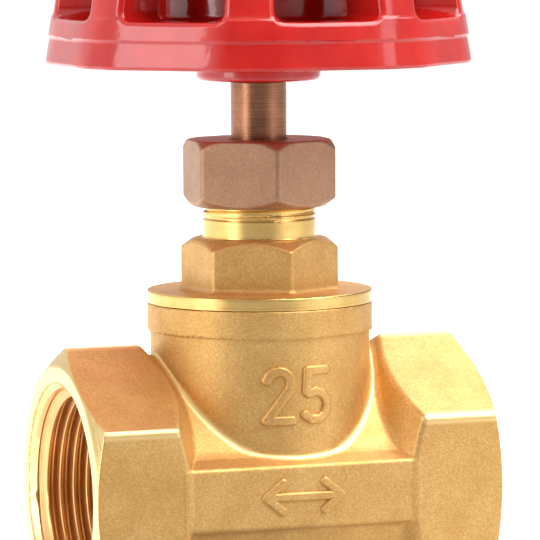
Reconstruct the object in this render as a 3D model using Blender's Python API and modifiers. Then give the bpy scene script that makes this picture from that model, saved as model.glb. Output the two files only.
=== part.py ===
"""Brass wedge gate valve, DN25, with internally threaded hexagonal ends.

The stem turns without rising: its lower thread lifts the wedge inside the
body.  Origin where the flow axis (X) crosses the stem axis (Z).  Metres, +Z up.
The valve is shown shut, with the wedge on its seats.
"""

import math

import bmesh
import bpy
from mathutils import Matrix

MM = 0.001
GAP = 0.3            # clearance between pieces that touch, mm
BODY_STEPS = 40      # facets round the body's turned shapes

# --- body -----------------------------------------------------------------
FACE_X = 34.65       # port face to stem axis
HEX_AF = 40.6        # across the flats of the hexagonal ends
HEX_INNER_X = 21.0   # where a hexagon's edges stop towards the middle
FACE_R = 20.2        # radius of the machined end face
CHAMFER_OUT = 1.3
THREAD_MINOR_R = 15.15
THREAD_MOUTH_R = 17.75
MOUTH_DEPTH = THREAD_MOUTH_R - THREAD_MINOR_R
THREAD_END_X = 20.6
PORT_R = 10.0
TUBE_R = 19.3        # barrel between the hexagons
SLOPE_R = 16.9       # flat slopes either side of its top, from the pipe axis
SLOPE_ANGLE = math.radians(48.3)
BAND_Z = 4.95
BAND_X = 19.2
NECK_R = 18.0
NECK_RING_R = 18.45
NECK_RING_Z = 25.1
NECK_TOP_Z = 29.47
NECK_BORE_R = 15.4
NECK_BORE_Z = 13.5
GASKET_SEAT_R = 17.3
GASKET_SEAT_Z = 28.3
SLOT_X = 8.0         # chamber half width along the flow
SLOT_R = 13.2        # chamber half width across the flow, and its round bottom
SEAT_OUT_R = 12.2
GUIDE_X = 1.5        # half thickness of the guide ribs
GUIDE_Y = 10.3
GUIDE_TOP_Z = 23.0
GUIDE_LOW_Z = -9.0

# --- wedge ----------------------------------------------------------------
WEDGE_R = 11.6
WEDGE_HALF = 6.2     # half thickness on the flow axis
WEDGE_ANGLE = math.radians(4.0)
WEDGE_BOSS_R = 6.6
WEDGE_TOP_Z = 16.0
SEAT_GAP = 0.25

# --- bonnet ---------------------------------------------------------------
FLANGE_R = 18.42
FLANGE_Z = 31.73
SPIGOT_R = 15.1
SPIGOT_BORE_R = 13.3
SPIGOT_Z = 24.0
BONNET_HEX_AF = 22.7
BONNET_HEX_TOP_Z = 40.15
BONNET_HEX_TURN = math.radians(-26.0)
BONNET_CAVITY_R = 9.5
COLLAR_BORE_R = 7.5
SHOULDER_Z = 44.6
PACKING_FLOOR_Z = 46.2
PACKING_BORE_R = 7.0
GLAND_NECK_R = 9.3
GLAND_NECK_TOP_Z = 52.2

# --- stem -----------------------------------------------------------------
STEM_R = 4.57
STEM_THREAD_R = 4.4
STEM_END_Z = 11.0
COLLAR_R = 6.9
COLLAR_Z = (41.6, 43.5)
SQUARE_Z = (65.7, 80.0)
SQUARE_SIDE = 6.4
STUD_R = 3.0
STUD_TOP_Z = 88.2

# --- packing nut ----------------------------------------------------------
NUT_AF = 22.7
NUT_Z = (45.3, 56.3)
NUT_PLATE_Z = 54.0
NUT_TURN = math.radians(-36.0)

# --- handwheel ------------------------------------------------------------
RIM_R = 34.9
RIM_Z = 68.6
DRAFT = 0.17         # the wall leans in by this much for each mm of height
WHEEL_TOP_Z = 90.0
SKIRT_WALL = 3.6
POST_DEPTH = 8.0
SILL_Z = 76.2
LINTEL_Z = 84.6
FLOOR_Z = (73.6, 75.7)
LOBES = 8
POST_WIDTH = 7.6
VALLEY_R = 33.55     # distance of a valley's flat from the axis at the rim
HUB_R = 9.9
HUB_Z = (65.9, 80.3)
CORE_R = 17.2        # the core that carries the hub, seen through the windows
WELL_R = 14.4        # the open well in the core, with the nut at its bottom
CHANNEL_TOP_Z = 87.0 # the ring channel between the core and the posts


def collection(name):
    made = bpy.data.collections.new(name)
    bpy.context.scene.collection.children.link(made)
    return made


def material(name, colour, roughness, metallic):
    made = bpy.data.materials.new(name)
    made.use_nodes = True
    shader = made.node_tree.nodes["Principled BSDF"]
    shader.inputs["Base Color"].default_value = (*colour, 1.0)
    shader.inputs["Roughness"].default_value = roughness
    shader.inputs["Metallic"].default_value = metallic
    return made


def place(name, mesh, group, cutter=False):
    made = bpy.data.objects.new(name, mesh)
    group.objects.link(made)
    if cutter:
        made.hide_render = True
        made.display_type = "WIRE"
    return made


def turned(name, profile, group, steps=48, loop=False, cutter=False):
    """A profile of (radius, height) in mm, running down the outside, turned about Z."""
    points = [(r * MM, 0.0, z * MM) for r, z in profile]
    edges = [(i, i + 1) for i in range(len(points) - 1)]
    if loop:
        edges.append((len(points) - 1, 0))
    mesh = bpy.data.meshes.new(name)
    mesh.from_pydata(points, edges, [])
    made = place(name, mesh, group, cutter)
    screw = made.modifiers.new("Turn", "SCREW")
    screw.angle = math.tau
    screw.steps = screw.render_steps = steps
    screw.use_merge_vertices = True
    screw.merge_threshold = 0.00001
    screw.use_smooth_shade = False
    return made


def along_x(made):
    """Lays a piece turned about Z along the flow axis, its top towards +X."""
    made.rotation_euler = (0.0, math.pi / 2, 0.0)
    return made


def prism(name, sides, across, z_low, z_high, group, turn=0.0, cutter=False):
    """An upright prism with a flat facing the direction turn from -Y."""
    mesh = bpy.data.meshes.new(name)
    form = bmesh.new()
    radius = across / 2 / math.cos(math.pi / sides)
    bmesh.ops.create_cone(
        form, segments=sides, cap_ends=True, radius1=radius * MM, radius2=radius * MM,
        depth=(z_high - z_low) * MM,
        matrix=Matrix.Translation((0, 0, (z_low + z_high) / 2 * MM)),
    )
    corner = min(math.atan2(v.co.y, v.co.x) % math.tau for v in form.verts)
    wanted = -math.pi / 2 + turn + math.pi / sides
    bmesh.ops.rotate(form, verts=form.verts, matrix=Matrix.Rotation(wanted - corner, 3, "Z"))
    form.to_mesh(mesh)
    form.free()
    return place(name, mesh, group, cutter)


def block(name, low, high, group, cutter=False):
    """A box between two corners in mm."""
    mesh = bpy.data.meshes.new(name)
    form = bmesh.new()
    size = [(b - a) * MM for a, b in zip(low, high)]
    middle = [(a + b) / 2 * MM for a, b in zip(low, high)]
    bmesh.ops.create_cube(form, size=1.0)
    bmesh.ops.scale(form, vec=size, verts=form.verts)
    bmesh.ops.translate(form, vec=middle, verts=form.verts)
    form.to_mesh(mesh)
    form.free()
    return place(name, mesh, group, cutter)


def combine(made, other, operation, solver="EXACT"):
    step = made.modifiers.new(operation.title(), "BOOLEAN")
    step.operation = operation
    step.solver = solver
    step.object = other
    return made


def finish(made, look, smooth=True):
    made.data.materials.append(look)
    if smooth:
        made.data.shade_smooth()
    return made


for old in list(bpy.data.objects):
    bpy.data.objects.remove(old, do_unlink=True)

valve = collection("gate_valve")
tools = collection("gate_valve_cutters")

brass_cast = material("brass_cast", (0.60, 0.36, 0.12), 0.45, 1.0)
brass_bright = material("brass_bright", (0.80, 0.60, 0.24), 0.18, 1.0)
copper_cast = material("copper_cast", (0.46, 0.24, 0.13), 0.45, 1.0)
stem_bronze = material("stem_bronze", (0.34, 0.19, 0.11), 0.35, 1.0)
red_paint = material("red_paint", (0.62, 0.03, 0.02), 0.15, 0.0)
ptfe = material("ptfe", (0.85, 0.85, 0.80), 0.5, 0.0)
fibre = material("gasket_fibre", (0.16, 0.22, 0.20), 0.8, 0.0)
packing_look = material("packing_graphite", (0.05, 0.05, 0.055), 0.7, 0.0)
steel = material("zinc_steel", (0.62, 0.63, 0.64), 0.3, 1.0)

# --- body -----------------------------------------------------------------
hex_corner = HEX_AF / 2 / math.cos(math.pi / 6)
body = turned(
    "body",
    [(0.0, 20.5), (TUBE_R, 20.5), (TUBE_R, -20.5), (0.0, -20.5)],
    valve, BODY_STEPS,
)
along_x(body)
roof = prism("roof", 6, 2 * TUBE_R + 0.4, -20.2, 20.2, tools, cutter=True)
roof.rotation_euler = (0.0, math.pi / 2, 0.0)
roof_keep = block("roof_keep", (-21, -9.1, 8.0), (21, 9.1, 24.0), tools, cutter=True)
combine(roof, roof_keep, "INTERSECT")
combine(body, roof, "UNION", "MANIFOLD")
for side, tag in ((1, "back"), (-1, "front")):
    slope = block("slope_" + tag, (-21, -16, SLOPE_R), (21, 16, 30), tools, cutter=True)
    slope.rotation_euler = (-side * SLOPE_ANGLE, 0.0, 0.0)
    combine(body, slope, "DIFFERENCE", "MANIFOLD")

for side, tag in ((1, "right"), (-1, "left")):
    end = prism("hex_end_" + tag, 6, HEX_AF, 17.0, FACE_X + 1, tools, cutter=True)
    shape = turned(
        "hex_barrel_" + tag,
        [
            (0.0, FACE_X), (FACE_R, FACE_X), (hex_corner + 0.2, FACE_X - CHAMFER_OUT),
            (hex_corner + 0.2, HEX_INNER_X), (17.6, HEX_INNER_X - 3.4),
            (0.0, HEX_INNER_X - 3.4),
        ],
        tools, BODY_STEPS, cutter=True,
    )
    combine(end, shape, "INTERSECT")
    for piece in (end, shape):
        piece.rotation_euler = (0.0, side * math.pi / 2, 0.0)
    combine(body, end, "UNION", "MANIFOLD")

band = block(
    "band", (-BAND_X, -HEX_AF / 2 + 0.05, -BAND_Z), (BAND_X, HEX_AF / 2 - 0.05, BAND_Z),
    tools, cutter=True,
)
combine(body, band, "UNION", "MANIFOLD")
neck = turned(
    "neck",
    [
        (0.0, NECK_TOP_Z), (NECK_RING_R, NECK_TOP_Z), (NECK_RING_R, NECK_RING_Z + 0.2),
        (NECK_R, NECK_RING_Z - 0.35), (NECK_R, 0.4), (0.0, 0.4),
    ],
    tools, BODY_STEPS, cutter=True,
)
combine(body, neck, "UNION", "MANIFOLD")
neck_bore = turned(
    "neck_bore",
    [
        (0.0, NECK_TOP_Z + 2), (GASKET_SEAT_R, NECK_TOP_Z + 2), (GASKET_SEAT_R, GASKET_SEAT_Z),
        (NECK_BORE_R, GASKET_SEAT_Z), (NECK_BORE_R, NECK_BORE_Z), (0.0, NECK_BORE_Z),
    ],
    tools, BODY_STEPS, cutter=True,
)
combine(body, neck_bore, "DIFFERENCE", "MANIFOLD")
slot = turned(
    "slot", [(0.0, SLOT_X), (SLOT_R, SLOT_X), (SLOT_R, -SLOT_X), (0.0, -SLOT_X)],
    tools, BODY_STEPS, cutter=True,
)
along_x(slot)
slot_top = block(
    "slot_top", (-SLOT_X + 0.02, -SLOT_R + 0.02, 0.0),
    (SLOT_X - 0.02, SLOT_R - 0.02, NECK_BORE_Z + 0.5), tools, cutter=True,
)
combine(slot, slot_top, "UNION")
combine(body, slot, "DIFFERENCE", "MANIFOLD")
seat_x = (WEDGE_HALF + SEAT_GAP) / math.cos(WEDGE_ANGLE)
for side, tag in ((1, "right"), (-1, "left")):
    seat = turned(
        "seat_" + tag,
        [(0.0, 4.0), (SEAT_OUT_R, 4.0), (SEAT_OUT_R, 0.0), (0.0, 0.0)],
        tools, 40, cutter=True,
    )
    seat.location = (side * seat_x * MM, 0.0, 0.0)
    seat.rotation_euler = (0.0, side * (math.pi / 2 + WEDGE_ANGLE), 0.0)
    combine(body, seat, "UNION", "MANIFOLD")
for side, tag in ((1, "back"), (-1, "front")):
    near, far = side * GUIDE_Y, side * (NECK_BORE_R + 1.0)
    guide_high = block(
        "guide_high_" + tag, (-GUIDE_X, min(near, far), 4.0),
        (GUIDE_X, max(near, far), GUIDE_TOP_Z), tools, cutter=True,
    )
    combine(body, guide_high, "UNION", "MANIFOLD")
    far = side * (SLOT_R + 1.5)
    guide_low = block(
        "guide_low_" + tag, (-GUIDE_X + 0.01, min(near, far) + 0.01, GUIDE_LOW_Z),
        (GUIDE_X - 0.01, max(near, far) - 0.01, 5.0), tools, cutter=True,
    )
    combine(body, guide_low, "UNION", "MANIFOLD")
ports = turned(
    "ports",
    [
        (0.0, FACE_X + 2), (THREAD_MOUTH_R + 2, FACE_X + 2), (THREAD_MINOR_R, FACE_X - MOUTH_DEPTH),
        (THREAD_MINOR_R, THREAD_END_X), (PORT_R, THREAD_END_X - 2.0),
        (PORT_R, -THREAD_END_X + 2.0), (THREAD_MINOR_R, -THREAD_END_X),
        (THREAD_MINOR_R, -FACE_X + MOUTH_DEPTH), (THREAD_MOUTH_R + 2, -FACE_X - 2),
        (0.0, -FACE_X - 2),
    ],
    tools, BODY_STEPS, cutter=True,
)
along_x(ports)
combine(body, ports, "DIFFERENCE", "MANIFOLD")
finish(body, brass_cast, smooth=False)

# --- wedge ----------------------------------------------------------------
wedge = turned(
    "wedge", [(0.0, 9.0), (WEDGE_R, 9.0), (WEDGE_R, -9.0), (0.0, -9.0)], valve, 48,
)
along_x(wedge)
for side, tag in ((1, "right"), (-1, "left")):
    face = block("wedge_face_" + tag, (min(0, side * 8), -20, -30), (max(0, side * 8), 20, 30),
                 tools, cutter=True)
    face.location = (side * WEDGE_HALF * MM, 0.0, 0.0)
    face.rotation_euler = (0.0, side * WEDGE_ANGLE, 0.0)
    combine(wedge, face, "DIFFERENCE", "MANIFOLD")
boss = turned(
    "wedge_boss",
    [
        (0.0, WEDGE_TOP_Z), (WEDGE_BOSS_R - 0.6, WEDGE_TOP_Z), (WEDGE_BOSS_R, WEDGE_TOP_Z - 0.6),
        (WEDGE_BOSS_R, 8.0), (0.0, 8.0),
    ],
    tools, 40, cutter=True,
)
combine(wedge, boss, "UNION", "MANIFOLD")
stem_hole = turned(
    "stem_hole",
    [
        (0.0, 18.0), (STEM_THREAD_R + 0.4, 18.0), (STEM_THREAD_R + 0.4, -14.0), (0.0, -14.0),
    ],
    tools, 32, cutter=True,
)
combine(wedge, stem_hole, "DIFFERENCE", "MANIFOLD")
for side, tag in ((1, "back"), (-1, "front")):
    near, far = side * (GUIDE_Y - 0.4), side * 14.0
    groove = block(
        "groove_" + tag, (-GUIDE_X - 0.4, min(near, far), -14.0),
        (GUIDE_X + 0.4, max(near, far), 14.0), tools, cutter=True,
    )
    combine(wedge, groove, "DIFFERENCE", "MANIFOLD")
finish(wedge, brass_cast, smooth=False)

# --- bonnet ---------------------------------------------------------------
bonnet = turned(
    "bonnet",
    [
        (0.0, GLAND_NECK_TOP_Z), (GLAND_NECK_R - 0.4, GLAND_NECK_TOP_Z),
        (GLAND_NECK_R, GLAND_NECK_TOP_Z - 0.4), (GLAND_NECK_R, FLANGE_Z + 2.2),
        (BONNET_HEX_AF / 2 + 0.2, FLANGE_Z + 1.3), (BONNET_HEX_AF / 2 + 2.4, FLANGE_Z),
        (FLANGE_R - 0.3, FLANGE_Z), (FLANGE_R, FLANGE_Z - 0.3),
        (FLANGE_R, NECK_TOP_Z + GAP + 0.3), (FLANGE_R - 0.3, NECK_TOP_Z + GAP),
        (SPIGOT_R, NECK_TOP_Z + GAP), (SPIGOT_R, SPIGOT_Z + 0.4),
        (SPIGOT_R - 0.4, SPIGOT_Z), (0.0, SPIGOT_Z),
    ],
    valve, 48,
)
bonnet_hex = prism(
    "bonnet_hex", 6, BONNET_HEX_AF, FLANGE_Z - 0.8, BONNET_HEX_TOP_Z + 1, tools,
    BONNET_HEX_TURN, cutter=True,
)
bonnet_chamfer = turned(
    "bonnet_chamfer",
    [
        (0.0, BONNET_HEX_TOP_Z), (BONNET_HEX_AF / 2 - 0.35, BONNET_HEX_TOP_Z),
        (BONNET_HEX_AF / 2 + 1.9, BONNET_HEX_TOP_Z - 1.3),
        (BONNET_HEX_AF / 2 + 1.9, FLANGE_Z - 0.4), (0.0, FLANGE_Z - 0.4),
    ],
    tools, 48, cutter=True,
)
combine(bonnet_hex, bonnet_chamfer, "INTERSECT")
combine(bonnet, bonnet_hex, "UNION", "MANIFOLD")
bonnet_bore = turned(
    "bonnet_bore",
    [
        (0.0, 54.0), (PACKING_BORE_R, 54.0), (PACKING_BORE_R, PACKING_FLOOR_Z),
        (STEM_R + 0.38, PACKING_FLOOR_Z), (STEM_R + 0.38, SHOULDER_Z),
        (COLLAR_BORE_R, SHOULDER_Z), (COLLAR_BORE_R, 38.2), (BONNET_CAVITY_R, 38.2),
        (BONNET_CAVITY_R, 31.9), (SPIGOT_BORE_R, NECK_TOP_Z), (SPIGOT_BORE_R, 22.0),
        (0.0, 22.0),
    ],
    tools, 48, cutter=True,
)
combine(bonnet, bonnet_bore, "DIFFERENCE", "MANIFOLD")
finish(bonnet, brass_cast, smooth=False)

# --- rings between and inside ----------------------------------------------


def ring(name, inner, outer, z_low, z_high, look, steps=32):
    made = turned(
        name, [(outer, z_high), (outer, z_low), (inner, z_low), (inner, z_high)],
        valve, steps, loop=True,
    )
    return finish(made, look)


gasket = ring("bonnet_gasket", 15.5, GASKET_SEAT_R - 0.4, GASKET_SEAT_Z + GAP, 29.4, fibre)
retainer = ring("stem_retainer", STEM_THREAD_R + 0.35, 7.2, 38.3, 41.2, brass_bright)
thrust = ring("thrust_washer", STEM_R + 0.35, 7.1, COLLAR_Z[1] + GAP, 44.3, ptfe)
packing = [
    ring("packing_ring_lower", STEM_R + 0.33, 6.7, 46.5, 47.8, packing_look),
    ring("packing_ring_middle", STEM_R + 0.33, 6.7, 48.1, 49.4, packing_look),
    ring("packing_ring_upper", STEM_R + 0.33, 6.7, 49.7, 51.0, packing_look),
]
follower = ring("gland_follower", STEM_R + 0.33, 6.7, 51.3, NUT_PLATE_Z - GAP, brass_bright)

# --- packing nut ------------------------------------------------------------
nut = prism("packing_nut", 6, NUT_AF, NUT_Z[0], NUT_Z[1], valve, NUT_TURN)
nut_chamfer = turned(
    "nut_chamfer",
    [
        (0.0, NUT_Z[1] + 0.02), (NUT_AF / 2 - 0.3, NUT_Z[1] + 0.02),
        (NUT_AF / 2 + 1.9, NUT_Z[1] - 1.1), (NUT_AF / 2 + 1.9, NUT_Z[0] + 1.5),
        (NUT_AF / 2 - 0.6, NUT_Z[0] - 0.02), (0.0, NUT_Z[0] - 0.02),
    ],
    tools, 48, cutter=True,
)
combine(nut, nut_chamfer, "INTERSECT")
nut_bore = turned(
    "nut_bore",
    [
        (0.0, NUT_Z[1] + 1), (STEM_R + 0.38, NUT_Z[1] + 1), (STEM_R + 0.38, NUT_PLATE_Z),
        (GLAND_NECK_R + GAP, NUT_PLATE_Z), (GLAND_NECK_R + GAP, NUT_Z[0] + 0.4),
        (GLAND_NECK_R + GAP + 0.6, NUT_Z[0] - 0.2), (GLAND_NECK_R + GAP + 0.6, NUT_Z[0] - 1),
        (0.0, NUT_Z[0] - 1),
    ],
    tools, 48, cutter=True,
)
combine(nut, nut_bore, "DIFFERENCE")
finish(nut, copper_cast, smooth=False)

# --- stem -------------------------------------------------------------------
stem = turned(
    "stem",
    [
        (0.0, STUD_TOP_Z), (STUD_R - 0.5, STUD_TOP_Z), (STUD_R, STUD_TOP_Z - 0.5),
        (STUD_R, SQUARE_Z[0]), (STEM_R - 0.3, SQUARE_Z[0]), (STEM_R, SQUARE_Z[0] - 0.3),
        (STEM_R, COLLAR_Z[1]), (COLLAR_R, COLLAR_Z[1]), (COLLAR_R, COLLAR_Z[0]),
        (STEM_THREAD_R, COLLAR_Z[0]), (STEM_THREAD_R, STEM_END_Z + 0.6),
        (STEM_THREAD_R - 0.6, STEM_END_Z), (0.0, STEM_END_Z),
    ],
    valve, 40,
)
square = prism(
    "stem_square", 4, SQUARE_SIDE, SQUARE_Z[0] - 0.2, SQUARE_Z[1], tools, cutter=True,
)
combine(stem, square, "UNION")
finish(stem, stem_bronze, smooth=False)

# --- handwheel --------------------------------------------------------------


def wall(z):
    """Radius of the handwheel's drafted outer wall."""
    return RIM_R - DRAFT * (z - RIM_Z)


wheel = turned(
    "handwheel",
    [
        (0.0, HUB_Z[1]), (WELL_R, HUB_Z[1]), (WELL_R, WHEEL_TOP_Z - 1.2),
        (WELL_R + 1.2, WHEEL_TOP_Z), (wall(90) - 1.8, WHEEL_TOP_Z),
        (wall(89.2) - 0.4, 89.2), (wall(88.0), 88.0), (wall(RIM_Z + 0.8), RIM_Z + 0.8),
        (RIM_R - 0.7, RIM_Z), (RIM_R - SKIRT_WALL + 0.6, RIM_Z),
        (RIM_R - SKIRT_WALL, RIM_Z + 0.6), (wall(FLOOR_Z[0]) - SKIRT_WALL, FLOOR_Z[0]),
        (HUB_R + 0.8, FLOOR_Z[0]), (HUB_R, FLOOR_Z[0] - 0.8), (HUB_R + 0.3, HUB_Z[0] + 1.6),
        (HUB_R + 0.3, HUB_Z[0] + 0.6), (HUB_R - 0.4, HUB_Z[0]), (0.0, HUB_Z[0]),
    ],
    valve, 48,
)
channel = turned(
    "channel",
    [
        (wall(CHANNEL_TOP_Z) - POST_DEPTH, CHANNEL_TOP_Z), (wall(FLOOR_Z[1]) - POST_DEPTH, FLOOR_Z[1]),
        (CORE_R + 1.4, FLOOR_Z[1]), (CORE_R, FLOOR_Z[1] + 1.4), (CORE_R, CHANNEL_TOP_Z),
    ],
    tools, 48, loop=True, cutter=True,
)
combine(wheel, channel, "DIFFERENCE")
hub_square = prism(
    "hub_square", 4, SQUARE_SIDE + 2 * GAP, HUB_Z[0] - 1, HUB_Z[1] + 1, tools, cutter=True,
)
combine(wheel, hub_square, "DIFFERENCE")
for lobe in range(LOBES):
    turn = math.tau * lobe / LOBES
    window = block(
        "window_%d" % lobe, (19.0, -8.0, SILL_Z), (39.0, 8.0, LINTEL_Z), tools, cutter=True,
    )
    for vertex in window.data.vertices:
        reach = vertex.co.x / MM
        edge = reach * math.sin(math.pi / LOBES) - POST_WIDTH / 2
        vertex.co.y = math.copysign(edge * MM, vertex.co.y)
    soften = window.modifiers.new("Round", "BEVEL")
    soften.width = 1.8 * MM
    soften.segments = 3
    window.rotation_euler = (0.0, 0.0, turn - math.pi / 2)
    combine(wheel, window, "DIFFERENCE")
    valley = block(
        "valley_%d" % lobe, (0.0, -16.0, -8.0), (10.0, 16.0, 34.0), tools, cutter=True,
    )
    valley.location = (
        VALLEY_R * MM * math.cos(turn - math.pi / 2),
        VALLEY_R * MM * math.sin(turn - math.pi / 2),
        RIM_Z * MM,
    )
    valley.rotation_euler = (0.0, -math.atan(DRAFT), turn - math.pi / 2)
    combine(wheel, valley, "DIFFERENCE")
finish(wheel, red_paint, smooth=False)

hub_washer = ring("handwheel_washer", STUD_R + GAP, 7.5, HUB_Z[1] + GAP, 81.8, steel)
split_washer = ring("handwheel_spring_washer", STUD_R + GAP, 5.4, 82.1, 83.4, steel)
split = block("split", (2.0, -0.6, 81.0), (7.0, 0.6, 84.5), tools, cutter=True)
combine(split_washer, split, "DIFFERENCE")
wheel_nut = prism("handwheel_nut", 6, 10.0, 83.7, 88.5, valve)
wheel_nut_chamfer = turned(
    "wheel_nut_chamfer",
    [(0.0, 88.52), (4.8, 88.52), (5.9, 87.8), (5.9, 83.68), (0.0, 83.68)],
    tools, 36, cutter=True,
)
combine(wheel_nut, wheel_nut_chamfer, "INTERSECT")
wheel_nut_bore = turned(
    "wheel_nut_bore", [(0.0, 90.0), (STUD_R + GAP, 90.0), (STUD_R + GAP, 82.0), (0.0, 82.0)],
    tools, 32, cutter=True,
)
combine(wheel_nut, wheel_nut_bore, "DIFFERENCE")
finish(wheel_nut, steel, smooth=False)

# --- what moves together ------------------------------------------------------
for carrier, members in (
    ("spindle_axis", (stem, wheel, hub_washer, split_washer, wheel_nut)),
    ("gate_lift", (wedge,)),
    ("gland_axis", (follower, nut)),
):
    empty = bpy.data.objects.new(carrier, None)
    valve.objects.link(empty)
    for member in members:
        member.parent = empty
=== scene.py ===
"""Looks of a brass gate valve with a red handwheel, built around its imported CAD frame.

Each visible piece is one closed surface: a distance field in millimetres, in the
CAD's own frame, is contoured into a mesh whose corners keep the field's normals.
"""
import math

import bmesh
import bpy
import numpy as np
from mathutils import Matrix, Vector


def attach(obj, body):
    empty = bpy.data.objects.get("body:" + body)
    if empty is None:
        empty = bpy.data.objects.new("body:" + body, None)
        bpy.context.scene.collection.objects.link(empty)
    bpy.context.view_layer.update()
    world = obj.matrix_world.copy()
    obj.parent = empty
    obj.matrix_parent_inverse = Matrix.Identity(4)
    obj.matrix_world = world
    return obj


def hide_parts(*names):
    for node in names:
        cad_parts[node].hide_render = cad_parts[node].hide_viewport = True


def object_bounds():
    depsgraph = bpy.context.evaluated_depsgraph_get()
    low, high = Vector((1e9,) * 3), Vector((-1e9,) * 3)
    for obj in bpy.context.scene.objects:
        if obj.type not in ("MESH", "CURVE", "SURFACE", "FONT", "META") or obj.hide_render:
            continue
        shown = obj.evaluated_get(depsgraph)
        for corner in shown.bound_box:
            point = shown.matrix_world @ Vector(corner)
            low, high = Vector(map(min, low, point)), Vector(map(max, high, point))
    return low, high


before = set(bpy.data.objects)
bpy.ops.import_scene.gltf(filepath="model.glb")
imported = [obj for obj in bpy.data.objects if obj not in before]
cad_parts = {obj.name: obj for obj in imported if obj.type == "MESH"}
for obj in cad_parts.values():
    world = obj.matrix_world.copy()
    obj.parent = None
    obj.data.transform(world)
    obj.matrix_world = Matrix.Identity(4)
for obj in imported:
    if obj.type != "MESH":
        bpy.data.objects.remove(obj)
CAD_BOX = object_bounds()
TAU = math.tau
MM = 0.001  # metres in a millimetre


# --------------------------------------------------------------------------
# distance field operations
# --------------------------------------------------------------------------
def both(a, b, r=0.0):
    """Intersection, its edge rounded to r."""
    if r <= 0:
        return np.maximum(a, b)
    return np.minimum(-r, np.maximum(a, b)) + np.hypot(np.maximum(a + r, 0), np.maximum(b + r, 0))


def join(a, b, r=0.0):
    """Union with a fillet of radius r."""
    if r <= 0:
        return np.minimum(a, b)
    return np.maximum(r, np.minimum(a, b)) - np.hypot(np.maximum(r - a, 0), np.maximum(r - b, 0))


def less(a, b, r=0.0):
    """a with b cut away, the cut's edge rounded to r."""
    return both(a, -b, r)


def slab(v, low, high):
    """The layer between low and high."""
    return np.maximum(low - v, v - high)


def slant(a, b, normal):
    """A plane or cone through a = b = 0, with its normal in the a, b plane."""
    return a * normal[0] + b * normal[1]


def hexagon(u, v, across, turn=0.0, r=0.0):
    """Hexagon in the u, v plane with one pair of flats facing +-v, turned by turn."""
    planes = []
    for k in range(3):
        a = turn + k * math.pi / 3
        planes.append(np.abs(-math.sin(a) * u + math.cos(a) * v) - across / 2)
    return both(both(planes[0], planes[1], r), planes[2], r)


def stroke(u, v, points, width):
    """Distance to a broken line with round ends."""
    d = None
    for (a, b), (c, e) in zip(points, points[1:]):
        du, dv = c - a, e - b
        t = np.clip(((u - a) * du + (v - b) * dv) / (du * du + dv * dv), 0, 1)
        n = np.hypot(u - a - t * du, v - b - t * dv)
        d = n if d is None else np.minimum(d, n)
    return d - width / 2


def smooth_step(v, low, high):
    """0 up to low, 1 from high on, with no corner at either."""
    t = np.clip((v - low) / (high - low), 0, 1)
    return t * t * (3 - 2 * t)


# --------------------------------------------------------------------------
# contouring
# --------------------------------------------------------------------------
GRADIENT_STEP = 0.004  # mm
GRID_SHIFT = 0.0137  # of a cell, so that no grid plane lies in a flat face
CROSSING_STEP = 0.3  # furthest a crossing moves towards the surface at once, in cells
CENTRE_PULL = 0.06  # draws a vertex to the middle of its crossings where they leave it free
VERTEX_REACH = 0.9  # furthest a vertex goes from that middle, in cells
INWARD = 0.22  # of the way to its face's middle, where a corner's normal is read
AGREEMENT = 0.5  # a corner's normal that agrees less with its face takes the face's own


def gradient(field, p):
    """Unit gradient of a field at points."""
    out = np.empty_like(p)
    for k in range(3):
        a, b = p.copy(), p.copy()
        a[:, k] -= GRADIENT_STEP
        b[:, k] += GRADIENT_STEP
        out[:, k] = field(*b.T) - field(*a.T)
    n = np.linalg.norm(out, axis=1, keepdims=True)
    return out / np.maximum(n, 1e-12)


def crossings(field, low, high, h):
    """Where the surface crosses the edges of a grid.

    Returns the points, the four cells round each point's edge, and whether the edge
    starts inside.
    """
    axes = [np.arange(a, b + h, h) + GRID_SHIFT * h for a, b in zip(low, high)]
    shape = tuple(len(a) for a in axes)
    gx, gy, gz = axes[0][:, None, None], axes[1][None, :, None], axes[2][None, None, :]
    values = np.broadcast_to(field(gx, gy, gz), shape).astype(np.float32)
    inside = values < 0
    cells, points, leaving = [], [], []
    strides = np.array([(shape[1] - 1) * (shape[2] - 1), shape[2] - 1, 1])
    for k in range(3):
        first = [slice(None)] * 3
        second = [slice(None)] * 3
        first[k], second[k] = slice(0, -1), slice(1, None)
        where = np.argwhere(inside[tuple(first)] != inside[tuple(second)])
        kept = np.ones(len(where), bool)
        for m in range(3):
            if m != k:
                kept &= (where[:, m] > 0) & (where[:, m] < shape[m] - 1)
        where = where[kept]
        step = np.zeros(3, int)
        step[k] = 1
        a = values[tuple(where.T)]
        b = values[tuple((where + step).T)]
        p = np.stack([axes[m][where[:, m]] for m in range(3)], 1)
        p[:, k] += a / (a - b) * h
        base = where @ strides
        u, v = [(1, 2), (2, 0), (0, 1)][k]
        round_edge = [base, base - strides[u], base - strides[u] - strides[v], base - strides[v]]
        cells.append(np.stack(round_edge, 1))
        points.append(p)
        leaving.append(a < 0)
    return np.concatenate(points), np.concatenate(cells), np.concatenate(leaving)


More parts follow.
